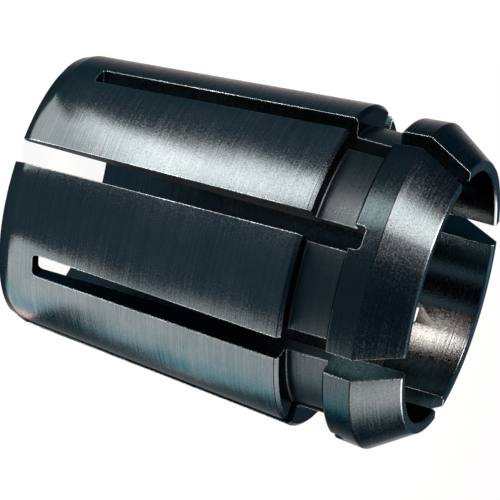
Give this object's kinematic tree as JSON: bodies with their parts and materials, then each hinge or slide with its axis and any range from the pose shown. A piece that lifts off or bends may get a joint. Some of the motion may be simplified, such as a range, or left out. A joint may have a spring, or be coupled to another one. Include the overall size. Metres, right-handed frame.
{
  "type": "collet cone",
  "caption": "Slotted taper collet for a tool holder, with a through bore, an extractor groove and a conical nose, in dark ground steel.",
  "frame": {"origin": "centre of the rear face, on the collet's axis, at the small end", "axes": "+Z along the axis from the small rear end to the nose; a front slot lies on +X"},
  "size_m": [0.052, 0.052, 0.0671],
  "materials": {
    "steel": "ground and blued spring steel, dark teal with bright worn edges"
  },
  "bodies": {
    "root": {"collet": "steel"}
  },
  "joints": []
}
